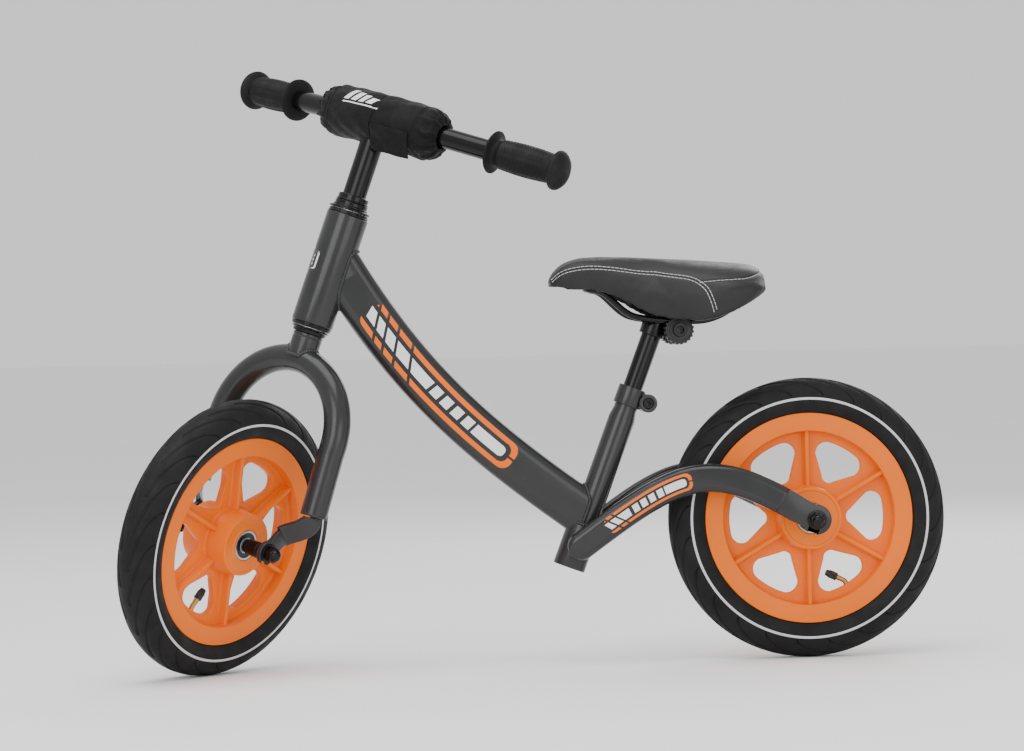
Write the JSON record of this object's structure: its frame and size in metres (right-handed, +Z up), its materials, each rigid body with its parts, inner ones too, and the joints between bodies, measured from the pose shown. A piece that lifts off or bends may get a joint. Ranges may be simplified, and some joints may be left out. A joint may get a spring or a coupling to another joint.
{
  "type": "balance bike",
  "caption": "Child's balance bike: curved steel frame, arched fork, moulded spoked wheels with air tyres, quill stem, bar pad and padded saddle.",
  "frame": {"origin": "on the ground under the middle of the bike's box, with the fork turned as stored", "axes": "+X towards the front of the bike, +Y to the rider's left, +Z up"},
  "size_m": [0.8879, 0.3257, 0.6493],
  "materials": {
    "painted_steel": "dark grey gloss paint",
    "black_metal": "black, semi-gloss",
    "bare_steel": "bare",
    "orange_plastic": "orange moulded plastic, gloss",
    "tyre_rubber": "black rubber with a pale stripe on each side",
    "grip_rubber": "matt",
    "black_plastic": "matt",
    "pad_fabric": "woven black cloth over foam",
    "saddle_skin": "stitched synthetic leather over foam",
    "brass": "bare"
  },
  "bodies": {
    "frame": {"head_tube": "painted_steel", "main_tube": "painted_steel", "seat_tube": "painted_steel", "seat_collar": "painted_steel", "seat_collar_bolt": "black_metal", "seat_collar_nut": "black_metal", "chainstay_left": "painted_steel", "chainstay_right": "painted_steel", "rear_dropout_left": "painted_steel", "rear_dropout_right": "painted_steel", "headset_cup_upper": "black_metal", "headset_cup_lower": "black_metal", "rear_axle": "bare_steel", "rear_axle_cone_left": "black_metal", "rear_axle_cone_right": "black_metal", "rear_axle_nut_left": "black_metal", "rear_axle_nut_right": "black_metal"},
    "rear_wheel": {"rear_rim": "orange_plastic", "rear_tyre": "tyre_rubber", "rear_inner_tube": "grip_rubber", "rear_valve_stem": "brass", "rear_valve_cap": "black_plastic", "rear_bearing_left": "bare_steel", "rear_bearing_right": "bare_steel"},
    "fork": {"steerer_tube": "painted_steel", "fork_arch": "painted_steel", "fork_dropout_left": "painted_steel", "fork_dropout_right": "painted_steel", "crown_race": "black_metal", "headset_balls_upper": "bare_steel", "headset_balls_lower": "bare_steel", "headset_adjusting_race": "black_metal", "headset_lock_nut": "black_metal", "front_axle": "bare_steel", "front_axle_cone_left": "black_metal", "front_axle_cone_right": "black_metal", "front_axle_nut_left": "black_metal", "front_axle_nut_right": "black_metal"},
    "front_wheel": {"front_rim": "orange_plastic", "front_tyre": "tyre_rubber", "front_inner_tube": "grip_rubber", "front_valve_stem": "brass", "front_valve_cap": "black_plastic", "front_bearing_left": "bare_steel", "front_bearing_right": "bare_steel"},
    "handlebar": {"stem_tube": "black_metal", "handlebar_tube": "black_metal", "grip_left": "grip_rubber", "grip_right": "grip_rubber", "bar_pad": "pad_fabric", "expander_bolt": "black_metal", "expander_wedge": "bare_steel"},
    "seat_post": {"seat_post": "black_metal", "saddle_clamp": "black_metal"},
    "saddle": {"saddle_clamp_bolt": "black_metal", "rail_clamp_left": "black_plastic", "rail_clamp_right": "black_plastic", "saddle_rails": "black_metal", "saddle_shell": "black_plastic", "saddle_cover": "saddle_skin"}
  },
  "joints": [
    {"name": "steering", "type": "hinge", "parent": "frame", "child": "fork", "pos_m": [0.31405, 0.0283, 0.14039], "axis": [-0.3354, 0, 0.9421], "range_deg": [-137.4, 42.6]},
    {"name": "front_wheel_spin", "type": "hinge", "parent": "fork", "child": "front_wheel", "pos_m": [0.32999, 0.0467, 0.14607], "axis": [-0.6934, 0.6769, -0.2469], "continuous": true},
    {"name": "rear_wheel_spin", "type": "hinge", "parent": "frame", "child": "rear_wheel", "pos_m": [-0.2944, 0.0283, 0.15], "axis": [0, 1, 0], "continuous": true},
    {"name": "stem_height", "type": "slide", "parent": "fork", "child": "handlebar", "axis": [-0.3354, 0, 0.9421], "range_m": [-0.03, 0.03]},
    {"name": "seat_height", "type": "slide", "parent": "frame", "child": "seat_post", "axis": [-0.3584, 0, 0.9336], "range_m": [-0.03, 0.08]},
    {"name": "saddle_tilt", "type": "hinge", "parent": "seat_post", "child": "saddle", "pos_m": [-0.15681, 0.0283, 0.35456], "axis": [0, 1, 0], "range_deg": [-8, 8]}
  ]
}
